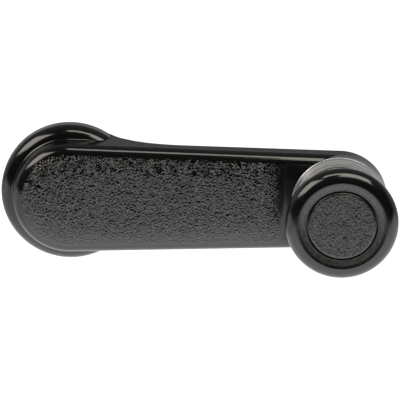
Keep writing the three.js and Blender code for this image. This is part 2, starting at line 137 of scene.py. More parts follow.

# Knob
KNOB_BASE = 22.9
KNOB_CREST = 46.2
KNOB_WAIST_R = 13.9
KNOB_CREST_R = 15.45
KNOB_RIM_H = 42.0  # height of its widest part
RIM_DEEP = 4.25
RIM_THICK = KNOB_CREST - KNOB_RIM_H
RIM_TUCK = 52  # degrees that the rim's round goes on below its widest part
NECK_PULL = 5.5  # how strongly the neck's curve holds its direction at each end
KNOB_DISH = 0.8
DISH_ROUND = 0.15  # of the edge where the dish meets the cap's well
WELL_R = 12.45
WELL_INNER_R = 10.45
CAP_SEAT = 43.0
KNOB_FLOOR = 38.5
KNOB_WEB = 36.1
KNOB_BORE_R = 5.2
KNOB_HUB_R = 7.8
KNOB_HUB_BASE = 23.6
KNOB_SKIRT_R = 11.5
DULL_R = (14.0, 15.3)  # the dish is matt inside the first radius and glossy from the second
DULL_H = 45.2  # and it is matt only above this height
RING_TOP = 26.7
RING_BORE_R = 13.1
RING_TOP_ROUND = (0.2, 0.15)

# Cap
CAP_R = 11.9
CAP_TOP = 45.6
CAP_BASE = 43.3
CAP_ROUND = 0.4
CAP_FLAT_R = CAP_R - CAP_ROUND
CAP_FADE = 0.5  # width of the grain's border
CAP_STEP, CAP_ROWS = 0.22, 51
SKIRT_R = WELL_INNER_R - GAP
SKIRT_INNER_R = 9.25
SKIRT_BASE = 40.7

# Numbers of steps round and along the pieces
HUB_STEPS, END_STEPS, SIDE_STEPS = 200, 90, 330
SHOULDER_STEP, SHOULDER_ROWS = 4, 16  # degrees, and rows
FACE_STEP = 0.3
MIDDLE_LEFT = 0.2  # narrower than this, the last strip isn't split
EVEN_OUT = (4.0, 9.0)  # rows keep their distance outside this and share the width inside it
WALL_ROWS = 26
FLANGE_SIDES = 288
JUNCTION_ROWS = 10
FOOT_SIDES = 224
COLLAR_SIDES = 224
KNOB_SIDES = 256
CAP_SIDES = 260
NECK_ROWS = 60
RIM_ROWS = 60
DISH_ROWS = 12
ROUND_ROWS = 5


def smooth(low, high, value):
    """0 below low, 1 above high, and a smooth step between."""
    t = min(max((value - low) / (high - low), 0.0), 1.0)
    return t * t * (3 - 2 * t)


def lerp(a, b, t):
    return a + (b - a) * t


def place(x, z, h):
    """A point from millimetres along the arm, up, and out of the door, in the CAD's metres."""
    return Vector((x * MM, -h * MM, z * MM))


def curve_at(table, x):
    """Straight-line reading of a table of (x, value) pairs."""
    if x <= table[0][0]:
        return table[0][1]
    for (x0, v0), (x1, v1) in zip(table, table[1:]):
        if x <= x1:
            return lerp(v0, v1, (x - x0) / (x1 - x0))
    return table[-1][1]


# Node materials


class Nodes:
    """Short calls for the nodes of one material or world."""

    def __init__(self, tree, coords="Object"):
        self.tree = tree
        self.coords = tree.nodes.new("ShaderNodeTexCoord").outputs[coords]

    def link(self, a, b):
        self.tree.links.new(a, b)

    def feed(self, socket, value):
        """Links a socket to another one, or sets it to a plain value."""
        if isinstance(value, bpy.types.NodeSocket):
            self.link(value, socket)
        else:
            socket.default_value = value

    def stretch(self, scale):
        node = self.tree.nodes.new("ShaderNodeMapping")
        node.inputs["Scale"].default_value = scale
        self.link(self.coords, node.inputs["Vector"])
        return node.outputs["Vector"]

    def flat_coords(self):
        """The arm's own face plane as the first two coordinates."""
        node = self.tree.nodes.new("ShaderNodeMapping")
        node.inputs["Rotation"].default_value = (math.pi / 2, 0, 0)
        node.inputs["Scale"].default_value = (1, 0, 1)
        self.link(self.coords, node.inputs["Vector"])
        return node.outputs["Vector"]

    def warped(self, vector, scale, amount):
        """Coordinates in grain sizes, bent by noise so that no cell is regular."""
        bend = self.tree.nodes.new("ShaderNodeTexNoise")
        bend.inputs["Scale"].default_value = scale * 0.9
        bend.inputs["Detail"].default_value = 2
        self.link(vector, bend.inputs["Vector"])
        size = self.tree.nodes.new("ShaderNodeVectorMath")
        size.operation = "SCALE"
        size.inputs["Scale"].default_value = scale
        self.link(vector, size.inputs[0])
        push = self.tree.nodes.new("ShaderNodeVectorMath")
        push.operation = "MULTIPLY_ADD"
        push.inputs[1].default_value = (2 * amount, 2 * amount, 0)
        self.link(bend.outputs["Color"], push.inputs[0])
        self.link(size.outputs["Vector"], push.inputs[2])
        return push.outputs["Vector"]

    def axes(self):
        node = self.tree.nodes.new("ShaderNodeSeparateXYZ")
        self.link(self.coords, node.inputs[0])
        return node.outputs

    def rays(self):
        return self.tree.nodes.new("ShaderNodeLightPath").outputs

    def noise(self, scale, detail=4.0, rough=0.55, vector=None):
        node = self.tree.nodes.new("ShaderNodeTexNoise")
        node.inputs["Scale"].default_value = scale
        node.inputs["Detail"].default_value = detail
        node.inputs["Roughness"].default_value = rough
        self.link(vector or self.coords, node.inputs["Vector"])
        return node.outputs["Fac"]

    def cell_edges(self, vector):
        """Distance to the border of irregular cells of about one unit."""
        node = self.tree.nodes.new("ShaderNodeTexVoronoi")
        node.feature = "DISTANCE_TO_EDGE"
        node.inputs["Scale"].default_value = 1.0
        self.link(vector, node.inputs["Vector"])
        return node.outputs["Distance"]

    def ramp(self, value, low, high, out_low=0.0, out_high=1.0):
        """A smooth step from out_low to out_high while the value goes from low to high."""
        node = self.tree.nodes.new("ShaderNodeMapRange")
        node.interpolation_type = "SMOOTHSTEP"
        self.feed(node.inputs["From Min"], low)
        self.feed(node.inputs["From Max"], high)
        self.feed(node.inputs["To Min"], out_low)
        self.feed(node.inputs["To Max"], out_high)
        self.link(value, node.inputs["Value"])
        return node.outputs["Result"]

    def math(self, kind, a, b):
        node = self.tree.nodes.new("ShaderNodeMath")
        node.operation = kind
        self.feed(node.inputs[0], a)
        self.feed(node.inputs[1], b)
        return node.outputs["Value"]

    def mix(self, factor, first, second):
        """The first colour at factor 0 and the second at factor 1."""
        node = self.tree.nodes.new("ShaderNodeMix")
        node.data_type = "RGBA"
        self.link(factor, node.inputs["Factor"])
        for socket, value in ((node.inputs[6], first), (node.inputs[7], second)):
            self.feed(socket, (*value, 1.0) if isinstance(value, tuple) else value)
        return node.outputs[2]

    def glow(self, strength, colour=(1.0, 1.0, 1.0)):
        node = self.tree.nodes.new("ShaderNodeEmission")
        self.feed(node.inputs["Strength"], strength)
        is_plain = isinstance(colour, tuple)
        self.feed(node.inputs["Color"], (*colour, 1.0) if is_plain else colour)
        return node.outputs["Emission"]

    def bump(self, height, strength, distance, normal=None):
        node = self.tree.nodes.new("ShaderNodeBump")
        node.inputs["Strength"].default_value = strength
        node.inputs["Distance"].default_value = distance
        self.link(height, node.inputs["Height"])
        if normal:
            self.link(normal, node.inputs["Normal"])
        return node.outputs["Normal"]

    def edges(self):
        """1 along outer edges and 0 on flats and in corners."""
        node = self.tree.nodes.new("ShaderNodeNewGeometry")
        return self.ramp(node.outputs["Pointiness"], 0.52, 0.6)

    def mask(self, name):
        node = self.tree.nodes.new("ShaderNodeAttribute")
        node.attribute_name = name
        return node.outputs["Fac"]


def new_material(name):
    """A material, its principled shader and its nodes."""
    mat = bpy.data.materials.new(name)
    mat.use_nodes = True
    tree = mat.node_tree
    tree.nodes.clear()
    out = tree.nodes.new("ShaderNodeOutputMaterial")
    bsdf = tree.nodes.new("ShaderNodeBsdfPrincipled")
    tree.links.new(bsdf.outputs["BSDF"], out.inputs["Surface"])
    return mat, bsdf, Nodes(tree)


def shade(colour, amount, most=1.0):
    """A colour made darker or lighter by a factor."""
    return tuple(min(part * amount, most) for part in colour)


def smooth_plastic(name, colour, roughness, spread, wear):
    """Moulded black plastic: soft mottling, fine handling haze and a slight ripple in the gloss.

    Where the mesh has the attribute dull, it is matt, greyer and finely mottled.
    """
    mat, bsdf, n = new_material(name)
    fine = n.noise(900, 3, 0.6)
    dull = n.mask("dull")
    mottle = n.noise(1500, 3, 0.6)

    base = n.mix(n.ramp(n.noise(45, 5, 0.6), 0.3, 0.7), colour, shade(colour, 1.35))
    edge = n.math("MULTIPLY", n.edges(), n.ramp(n.noise(260, 4, 0.6), 0.4, 0.62))
    rubbed = n.mix(n.math("MULTIPLY", edge, wear), base, shade(colour, 2.4))
    grey = n.mix(n.ramp(mottle, 0.35, 0.65), DULL_DARK, DULL_LIGHT)
    n.link(n.mix(dull, rubbed, grey), bsdf.inputs["Base Color"])

    haze = n.ramp(n.noise(70, 6, 0.65), 0.35, 0.75, roughness, roughness + spread)
    speck = n.ramp(fine, 0.45, 0.7, 0.0, spread * 0.6)
    matt = n.math("MULTIPLY", dull, 0.2)
    n.link(n.math("ADD", n.math("ADD", haze, speck), matt), bsdf.inputs["Roughness"])

    ripple = n.bump(n.noise(120, 2, 0.5), 0.12, 0.0002)
    finish = n.bump(fine, 0.05, 0.00004, ripple)
    mottled = n.bump(n.math("MULTIPLY", mottle, dull), 1.0, 0.00013, finish)
    n.link(mottled, bsdf.inputs["Normal"])
    bsdf.inputs["IOR"].default_value = 1.62
    return mat


def grained_plastic(name, colour, low, high, plain, scale, depth, width, ior):
    """Grained black plastic: winding valleys between small pebbles, dull and darkened with painted
    shade below, and rubbed lighter on top.

    The roughness runs from high in the valleys to low on the pebbles. Outside the mesh's
    attribute grain it is plain.
    """
    mat, bsdf, n = new_material(name)
    flat = n.flat_coords()
    ridge = n.ramp(n.cell_edges(n.warped(flat, scale, 0.55)), 0.0, width)
    lump = n.ramp(n.noise(scale * 0.8, 2, 0.5, flat), 0.3, 0.7, 0.8, 1.0)
    grain = n.math("MULTIPLY", ridge, lump)
    fine = n.math("MULTIPLY", n.noise(scale * 2.6, 2, 0.5, flat), 0.05)
    mask = n.mask("grain")
    top = n.ramp(grain, 0.2, 0.8)

    # Painted shade: the valleys are darkened to stand in for the shade inside them; the pebble
    # tops are rubbed lighter.
    grained = n.mix(top, shade(colour, 0.4), shade(colour, 1.3))
    n.link(n.mix(mask, colour, grained), bsdf.inputs["Base Color"])

    patch = n.ramp(n.noise(60, 4, 0.6), 0.35, 0.7, 0.0, 0.06)
    more = n.math("SUBTRACT", high - plain, n.math("MULTIPLY", top, high - low))
    gloss = n.math("ADD", n.math("MULTIPLY", more, mask), plain)
    n.link(n.math("ADD", gloss, patch), bsdf.inputs["Roughness"])

    height = n.math("MULTIPLY", n.math("ADD", grain, fine), mask)
    n.link(n.bump(height, 1.0, depth), bsdf.inputs["Normal"])
    bsdf.inputs["IOR"].default_value = ior
    return mat


def metal(name, colour, roughness, brush=(1, 1, 1), scale=900, wear=0.4, cast=0.0, metallic=1.0):
    """Bare or plated metal with a brushed or cast grain, dull patches and bright worn edges."""
    mat, bsdf, n = new_material(name)
    patched = n.mix(n.ramp(n.noise(130, 5, 0.6), 0.35, 0.7), colour, shade(colour, 0.72))
    worn = n.math("MULTIPLY", n.edges(), wear)
    n.link(n.mix(worn, patched, shade(colour, 1.5, 0.9)), bsdf.inputs["Base Color"])
    brushed_finish(bsdf, n, n.noise(scale, 3, 0.6, n.stretch(brush)), roughness, cast)
    bsdf.inputs["Metallic"].default_value = metallic
    return mat


def satin_metal(name, colour, roughness, streak, metallic):
    """Satin metal turned in a lathe, with fine streaks round the knob's axis."""
    mat, bsdf, n = new_material(name)
    lines = n.noise(1500, 3, 0.6, n.stretch(RINGS))
    streaked = n.mix(n.ramp(lines, 0.35, 0.65), shade(colour, 1 - streak), colour)
    n.link(streaked, bsdf.inputs["Base Color"])
    brushed_finish(bsdf, n, lines, roughness)
    bsdf.inputs["Metallic"].default_value = metallic
    return mat


def brushed_finish(bsdf, n, lines, roughness, cast=0.0):
    """Gloss and bump that follow the marks of brushing or turning, over a cast skin if any."""
    n.link(n.ramp(lines, 0.3, 0.7, roughness - 0.07, roughness + 0.1), bsdf.inputs["Roughness"])
    marks = n.bump(lines, 0.15, 0.00003)
    if cast:
        marks = n.bump(n.noise(700, 4, 0.6), cast, 0.0001, marks)
    n.link(marks, bsdf.inputs["Normal"])


def nylon(name, colour):
    mat, bsdf, n = new_material(name)
    cloud = n.ramp(n.noise(150, 4, 0.6), 0.35, 0.7)
    n.link(n.mix(cloud, colour, shade(colour, 0.86)), bsdf.inputs["Base Color"])
    n.link(n.ramp(n.noise(500, 3, 0.5), 0.3, 0.7, 0.42, 0.58), bsdf.inputs["Roughness"])
    n.link(n.bump(n.noise(800, 3, 0.6), 0.12, 0.00005), bsdf.inputs["Normal"])
    bsdf.inputs["Subsurface Weight"].default_value = 0.08
    bsdf.inputs["Subsurface Radius"].default_value = (0.001, 0.0008, 0.0006)
    return mat


BLACK = (0.0045, 0.0046, 0.005)
BACK_BLACK = (0.009, 0.009, 0.0095)
CAP_BLACK = (0.015, 0.0152, 0.0158)
DULL_DARK, DULL_LIGHT = (0.012, 0.012, 0.0118), (0.06, 0.06, 0.059)
RINGS = (0.04, 1, 0.04)  # turning marks round the knob's axis
ALONG = (0.05, 1, 1)  # rolling marks along the strap

GLOSS = smooth_plastic("black_gloss", BLACK, roughness=0.12, spread=0.04, wear=0.5)
KNOB_GLOSS = smooth_plastic("black_knob_gloss", BLACK, roughness=0.125, spread=0.04, wear=0.4)
MATTE = smooth_plastic("black_moulded_back", BACK_BLACK, roughness=0.36, spread=0.12, wear=0.6)
PAD = grained_plastic(
    "black_pad_grain", BLACK, low=0.06, high=0.12, plain=0.1,
    scale=880, depth=0.00016, width=0.29, ior=1.68,
)
CAP = grained_plastic(
    "black_cap_grain", CAP_BLACK, low=0.16, high=0.28, plain=0.19,
    scale=940, depth=0.00012, width=0.2, ior=1.72,
)
CORE = metal("core_sheet_steel", (0.42, 0.43, 0.44), 0.34, brush=ALONG, scale=1400)
ZINC = metal("cast_zinc", (0.46, 0.47, 0.48), 0.42, cast=0.25)
SPRING = metal("blued_spring_steel", (0.12, 0.13, 0.16), 0.3, scale=1600, wear=0.7)
PLATED = metal("plated_steel", (0.52, 0.51, 0.46), 0.3, scale=1200)
TURNED = metal("turned_steel", (0.5, 0.51, 0.52), 0.24, brush=RINGS, scale=1800)
NYLON = nylon("natural_nylon", (0.62, 0.6, 0.5))
COLLAR = satin_metal("satin_collar", (0.8, 0.82, 0.86), 0.27, streak=0.35, metallic=0.75)
RING = satin_metal("satin_ring", (0.93, 0.95, 0.98), 0.35, streak=0.2, metallic=0.65)
# Near-black metal on both sides of the gap between the collar's rim and the ring: painted shade of
# the parting line.
PARTING_SHADE = metal(
    "parting_line_painted_shade", (0.03, 0.03, 0.028), 0.6,
    brush=RINGS, scale=1500, wear=0.2, metallic=0.3,
)


# Mesh building


def mesh_object(name, points, faces, materials, slots=None, attributes=None, sharp=40):
    mesh = bpy.data.meshes.new(name)
    mesh.from_pydata([tuple(p) for p in points], [], faces)
    for mat in materials:
        mesh.materials.append(mat)
    if slots:
        mesh.polygons.foreach_set("material_index", slots)
    for key, values in (attributes or {}).items():
        layer = mesh.attributes.new(key, "FLOAT", "POINT")
        layer.data.foreach_set("value", values)
    mesh.shade_smooth()
    mesh.set_sharp_from_angle(angle=math.radians(sharp))
    mesh.update()
    obj = bpy.data.objects.new(name, mesh)
    bpy.context.collection.objects.link(obj)
    return obj


def weld(obj, sharp, distance=5e-6):
    """Joins points that lie on each other, so that shading runs on across the seams."""
    work = bmesh.new()
    work.from_mesh(obj.data)
    bmesh.ops.remove_doubles(work, verts=work.verts, dist=distance)
    work.to_mesh(obj.data)
    work.free()
    obj.data.set_sharp_from_angle(angle=math.radians(sharp))


def face_out(obj):
    work = bmesh.new()
    work.from_mesh(obj.data)
    bmesh.ops.recalc_face_normals(work, faces=work.faces)
    work.to_mesh(obj.data)
    work.free()


def ring_points(profile, sides, centre=0.0):
    """A profile of (radius, height) pairs, turned about an axis on the arm's middle line."""
    points = []
    for radius, height in profile:
        for k in range(sides):
            turn = 2 * math.pi * k / sides
            x, z = radius * math.cos(turn), radius * math.sin(turn)
            points.append(place(centre + x, z, height))
    return points


def quads(rows, count, closed=True, flip=False):
    """Four-sided faces between rows of count points each. A closed row runs on to its start."""
    faces = []
    for row in range(rows - 1):
        for k in range(count if closed else count - 1):
            a, b = row * count + k, row * count + (k + 1) % count
            faces.append([a, a + count, b + count, b] if flip else [a, b, b + count, a + count])
    return faces


def turned(name, profile, materials, sides, slot_of=None, dull_at=None):
    """A piece turned about the knob's axis, from a closed profile of (radius, height) pairs."""
    points = ring_points(profile, sides, CENTRES)
    faces = [[v % len(points) for v in face] for face in quads(len(profile) + 1, sides)]
    slots = [slot_of(i // sides) for i in range(len(faces))] if slot_of else None
    attributes = None
    if dull_at:
        attributes = {"dull": [dull_at(*point) for point in profile for _ in range(sides)]}
    obj = mesh_object(name, points, faces, materials, slots, attributes)
    face_out(obj)
    return obj


def arc(cx, cy, rx, ry, start, end, steps):
    """Points on an ellipse, with angles in degrees."""
    made = []
    for i in range(steps + 1):
        turn = math.radians(lerp(start, end, i / steps))
        made.append((cx + rx * math.cos(turn), cy + ry * math.sin(turn)))
    return made


def bezier(p0, p1, p2, p3, steps):
    made = []
    for i in range(steps + 1):
        t = i / steps
        s = 1 - t
        made.append(tuple(
            s ** 3 * a + 3 * s * s * t * b + 3 * s * t * t * c + t ** 3 * d
            for a, b, c, d in zip(p0, p1, p2, p3)
        ))
    return made


# Arm moulding


def stations():
    """Steps round the arm's outline: (foot of the normal on the middle line, direction out)."""
    hub_ends = TANGENT, 2 * math.pi - TANGENT
    hub = [(0.0, lerp(*hub_ends, i / HUB_STEPS)) for i in range(HUB_STEPS)]
    under = [(CENTRES * i / SIDE_STEPS, -TANGENT) for i in range(SIDE_STEPS)]
    end = [(CENTRES, lerp(-TANGENT, TANGENT, i / END_STEPS)) for i in range(END_STEPS)]
    over = [(CENTRES * (1 - i / SIDE_STEPS), TANGENT) for i in range(SIDE_STEPS)]
    return hub + under + end + over


def reach_at(x):
    """Distance from the middle line to the outline along the normal."""
    return lerp(HUB_R, END_R, x / CENTRES)


def pebble(x, z, size, seed):
    """Height of the moulded grain from 0 to 1: worn pebbles with narrow, winding valleys."""
    spot = Vector((x / size, z / size, seed))
    bend_at = spot * 0.9
    bend = Vector((noise.noise(bend_at), noise.noise(bend_at + Vector((7.3, 1.1, 4.2))), 0.0))
    spot += bend * 0.75
    near = noise.voronoi(spot)[0]
    valley = smooth(0.02, 0.42, near[1] - near[0])
    lumps = 0.5 + 0.5 * noise.noise(spot * 1.7 + Vector((3.1, 9.7, 2.2)))
    fine = 0.5 + 0.5 * noise.noise(spot * 4.3)
    return min(max(valley * (0.55 + 0.45 * lumps) + 0.12 * (fine - 0.5), 0.0), 1.0)


def face_height(x, inset):
    """Height of the arm's face at a distance in from its side, without the grain."""
    share = lerp(HUB_CROWN, ARM_CROWN, smooth(*CROWN_TURNS, x))
    crown = (1 - smooth(*CROWN_ENDS, x)) * share
    drop = 1 - min(inset / SHOULDER, 1.0)
    return EDGE_H + SHOULDER * math.sqrt(1 - drop * drop) + curve_at(PILLOW, inset) * crown


def pad_share(x, inset):
    """1 inside the grained pad, falling to 0 over its border."""
    border = smooth(PAD_INSET - PAD_FADE * 0.5, PAD_INSET + PAD_FADE * 0.5, inset)
    return border * (1 - smooth(PAD_END - PAD_END_FADE, PAD_END + PAD_FADE, x))


def arm_face():
    """The face and its rounded shoulder as one fine grid, from the outline to the middle line."""
    ring = stations()
    angles = [math.radians(SHOULDER_STEP * i) for i in range(SHOULDER_ROWS)]
    insets = [SHOULDER * (1 - math.cos(angle)) for angle in angles]
    while insets[-1] + FACE_STEP < END_R - MIDDLE_LEFT:
        insets.append(insets[-1] + FACE_STEP)
    shares = [inset / END_R for inset in insets] + [1.0]
    points, grain = [], []
    for share in shares:
        for foot, turn in ring:
            reach = reach_at(foot) + SKIN
            depth = share * END_R
            inset = lerp(depth, share * reach, smooth(*EVEN_OUT, depth))
            radius = reach - inset
            x, z = foot + radius * math.cos(turn), radius * math.sin(turn)
            pad = pad_share(x, inset)
            level = pebble(x, z, PAD_PEBBLE, PAD_SEED) if pad > 0 else 0.0
            height = face_height(x, inset) + pad * GRAIN * (level - 0.55)
            points.append(place(x, z, height + SKIN))
            grain.append(pad)
    faces = quads(len(shares), len(ring))
    slots = [int(any(grain[v] > 0 for v in face)) for face in faces]
    return points, faces, slots, grain


def arm_wall():
    """The side wall, from the front edge back to where it ends over the door."""
    ring = stations()
    points = []
    for row in range(WALL_ROWS + 1):
        for foot, turn in ring:
            reach = reach_at(foot) + SKIN
            x, z = foot + reach * math.cos(turn), reach * math.sin(turn)
            in_flange = math.hypot(x, z) < FLANGE_R - WALL_LAP
            back = WALL_BACK if in_flange else curve_at(BACK_EDGE, x)
            height = lerp(EDGE_H + SKIN, back, row / WALL_ROWS)
            out = reach + DRAFT * (EDGE_H - height)
            points.append(place(foot + out * math.cos(turn), out * math.sin(turn), height))
    return points, quads(WALL_ROWS + 1, len(ring), flip=True)


def flange_skin():
    """The flange's outer skin: back edge, straight wall and big quarter-round, less the track."""
    radius = FLANGE_R + SKIN
    back, flat = FLANGE_BACK_ROUND, FLANGE_H - FLANGE_ROUND
    profile = arc(radius - back, back, back, back, -90, 0, 8)
    profile += [(radius, lerp(back, flat, t)) for t in (0.25, 0.5, 0.75)]
    profile += arc(radius - FLANGE_ROUND, flat, FLANGE_ROUND, FLANGE_ROUND + SKIN, 0, 90, 24)
    profile.append((radius - FLANGE_ROUND - FLANGE_LAP, FLANGE_H + SKIN))

    def in_clip_track(face):
        row, k = divmod(face[0], FLANGE_SIDES)
        turn = 2 * math.pi * (k + 0.5) / FLANGE_SIDES
        beside_knob = math.cos(turn) > 0 and abs(radius * math.sin(turn)) < CLIP_TRACK
        return beside_knob and profile[row][1] < CLIP_TRACK_TOP

    faces = [face for face in quads(len(profile), FLANGE_SIDES) if not in_clip_track(face)]
    return ring_points(profile, FLANGE_SIDES), faces


def flange_height(radius):
    """Height of the flange's front at a distance from the spindle's axis."""
    out = min(max(radius - (FLANGE_R - FLANGE_ROUND), 0.0), FLANGE_ROUND)
    return FLANGE_H - FLANGE_ROUND + math.sqrt(FLANGE_ROUND ** 2 - out * out)


def junction_skin():
    """The small hollow fillet where the arm's side rises out of the flange."""
    ring = [s for s in stations() if s[0] < JUNCTION_REACH]
    start = next(i for i, s in enumerate(ring) if s[0] > 0 and s[1] > 0)
    ring = ring[start:] + ring[:start]
    points = []
    for row in range(JUNCTION_ROWS + 1):
        turn_in = math.pi / 2 * row / JUNCTION_ROWS
        for foot, turn in ring:
            shrink = smooth(JUNCTION_REACH * 0.5, JUNCTION_REACH, foot)
            size = JUNCTION * (1 - shrink) + JUNCTION_LEAST
            wall = reach_at(foot) + SKIN + DRAFT * (EDGE_H - FLANGE_H)
            out = wall + size * (1 - math.cos(turn_in))
            x, z = foot + out * math.cos(turn), out * math.sin(turn)
            height = flange_height(math.hypot(x, z)) + size * (1 - math.sin(turn_in))
            points.append(place(x, z, height + SKIN + LIFT))
    return points, quads(JUNCTION_ROWS + 1, len(ring), closed=False, flip=True)


def foot_skin():
    """The arm's end under the collar: a low drum that stops just short of its base."""
    edge = END_R + FOOT_SKIN
    profile = [
        (edge, EDGE_H - FOOT_LAP),
        (edge, EDGE_H),
        (edge - FOOT_TAPER, FACE_H - FOOT_TAPER_H),
        (edge - 2 * FOOT_TAPER, FACE_H - FOOT_ROUND / 2),
        (edge - FOOT_ROUND, FACE_H + SKIN),
        (FOOT_INNER_R, FACE_H + SKIN + LIFT),
    ]
    return ring_points(profile, FOOT_SIDES, CENTRES), quads(len(profile), FOOT_SIDES)


def arm_moulding():
    """The whole arm moulding: the solid's ribbed back under fine outer skins, as one mesh."""
    gloss_slot, back_slot = 0, 2
    sharp = 35
    shell = nodes["arm_shell"].data
    points = [v.co.copy() for v in shell.vertices]
    front = (EDGE_H - SLACK) * MM
    # Faces in front of the edge give way to the skins, but for those that look to the door.
    faces = [
        list(face.vertices) for face in shell.polygons
        if face.normal.y > 0.5 or min(-points[v].y for v in face.vertices) < front
    ]
    slots = [back_slot] * len(faces)
    grain = [0.0] * len(points)
    skins = [arm_face()]
    for skin_points, skin_faces in (arm_wall(), flange_skin(), foot_skin(), junction_skin()):
        no_grain = [0.0] * len(skin_points)
        skins.append((skin_points, skin_faces, [gloss_slot] * len(skin_faces), no_grain))
    for skin_points, skin_faces, skin_slots, skin_grain in skins:
        start = len(points)
        points += skin_points
        faces += [[start + v for v in face] for face in skin_faces]
        slots += skin_slots
        grain += skin_grain
    materials = [GLOSS, PAD, MATTE]
    obj = mesh_object("arm_moulding", points, faces, materials, slots, {"grain": grain}, sharp)
    weld(obj, sharp)
    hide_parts("arm_shell")
    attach(obj, "arm")


# Knob and collar


def neck_curve():
    """The knob's neck: from its foot in to the waist, and out to the underside of the rim."""
    tuck = math.radians(RIM_TUCK)
    tuck_point = (
        KNOB_CREST_R + RIM_DEEP * math.cos(tuck),
        KNOB_RIM_H - RIM_THICK * math.sin(tuck),
    )
    low_pull = (
        tuck_point[0] - NECK_PULL * math.sin(tuck),
        tuck_point[1] - NECK_PULL * math.cos(tuck),
    )
    foot, waist = (COLLAR_TOP_R, KNOB_BASE), (KNOB_WAIST_R, KNOB_BASE + NECK_PULL)
    return bezier(foot, waist, low_pull, tuck_point, NECK_ROWS)


def knob_grip(neck):
    """The knob: a seat for the ring, the neck, the rolled rim, the dish, the well and the hub."""
    seat_r, seat_h = RING_BORE_R - GAP, RING_TOP + GAP
    profile = [(KNOB_SKIRT_R, KNOB_BASE), (seat_r, KNOB_BASE), (seat_r, seat_h)]
    profile += [point for point in neck if point[1] > seat_h]
    profile += arc(KNOB_CREST_R, KNOB_RIM_H, RIM_DEEP, RIM_THICK, -RIM_TUCK, 90, RIM_ROWS)[1:]
    dish_r = WELL_R + DISH_ROUND
    for i in range(1, DISH_ROWS + 1):
        share = i / DISH_ROWS
        drop = KNOB_DISH / 2 * (1 - math.cos(math.pi * share))
        profile.append((lerp(KNOB_CREST_R, dish_r, share), KNOB_CREST - drop))
    edge_h = KNOB_CREST - KNOB_DISH - DISH_ROUND
    profile += arc(dish_r, edge_h, DISH_ROUND, DISH_ROUND, 90, 180, 4)
    profile += [
        (WELL_R, CAP_SEAT), (WELL_INNER_R, CAP_SEAT), (WELL_INNER_R, KNOB_FLOOR),
        (KNOB_BORE_R, KNOB_FLOOR), (KNOB_BORE_R, KNOB_HUB_BASE), (KNOB_HUB_R, KNOB_HUB_BASE),
        (KNOB_HUB_R, KNOB_WEB), (KNOB_SKIRT_R, KNOB_WEB),
    ]

    def dull_at(radius, height):
        return 1 - smooth(*DULL_R, radius) if height > DULL_H else 0.0

    obj = turned("knob_grip", profile, [KNOB_GLOSS], KNOB_SIDES, dull_at=dull_at)
    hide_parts("knob_body")
    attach(obj, "knob")


def knob_ring(neck):
    """The metal ring round the foot of the knob's neck, flush with it."""
    top_in, top_down = RING_TOP_ROUND
    low_h, top_h = KNOB_BASE + RIM_ROUND, RING_TOP - top_down
    outside = [point for point in neck if low_h < point[1] < top_h]
    low_r, top_r = outside[0][0] - RIM_ROUND, outside[-1][0] - top_in
    profile = [(RING_BORE_R, KNOB_BASE)]
    profile += arc(low_r, low_h, RIM_ROUND, RIM_ROUND, -90, 0, ROUND_ROWS)
    profile += outside + arc(top_r, top_h, top_in, top_down, 0, 90, 4)
    profile.append((RING_BORE_R, RING_TOP))

    # The ring's underside and lower round carry the parting line's painted shade.
    def slot_of(row):
        return int(row <= ROUND_ROWS)

    obj = turned("knob_ring", profile, [RING, PARTING_SHADE], COLLAR_SIDES, slot_of)
    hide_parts("knob_ferrule")
    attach(obj, "knob")


def cap_disc():
    """The grained cap: a dense disc whose grain is in the mesh, with a rounded rim and a skirt."""
    radii = [i * CAP_STEP for i in range(1, CAP_ROWS + 1)] + [CAP_FLAT_R - 0.1, CAP_FLAT_R]
    rim = arc(CAP_FLAT_R, CAP_TOP - CAP_ROUND, CAP_ROUND, CAP_ROUND, 90, 0, 8)[1:]
    skirt = [
        (CAP_R, CAP_BASE), (SKIRT_R, CAP_BASE), (SKIRT_R, SKIRT_BASE),
        (SKIRT_INNER_R, SKIRT_BASE), (SKIRT_INNER_R, CAP_BASE),
    ]
    points = [place(CENTRES, 0, CAP_TOP)]
    grain = [1.0]
    for radius in radii:
        share = 1 - smooth(CAP_FLAT_R - CAP_FADE, CAP_FLAT_R, radius)
        for k in range(CAP_SIDES):
            turn = 2 * math.pi * k / CAP_SIDES
            x, z = radius * math.cos(turn), radius * math.sin(turn)
            level = pebble(x, z, CAP_PEBBLE, CAP_SEED) if share else 0.0
            points.append(place(CENTRES + x, z, CAP_TOP + share * GRAIN * (level - 0.5)))
            grain.append(share)
    points += ring_points(rim + skirt, CAP_SIDES, CENTRES)
    grain += [0.0] * (len(points) - len(grain))
    faces = [[0, 1 + k, 1 + (k + 1) % CAP_SIDES] for k in range(CAP_SIDES)]
    rows = (len(points) - 1) // CAP_SIDES
    faces += [[1 + v for v in face] for face in quads(rows, CAP_SIDES)]
    faces.append(list(range(len(points) - CAP_SIDES, len(points))))
    obj = mesh_object("knob_cap_grained", points, faces, [CAP], None, {"grain": grain})
    face_out(obj)
    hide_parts("knob_cap")
    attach(obj, "knob")


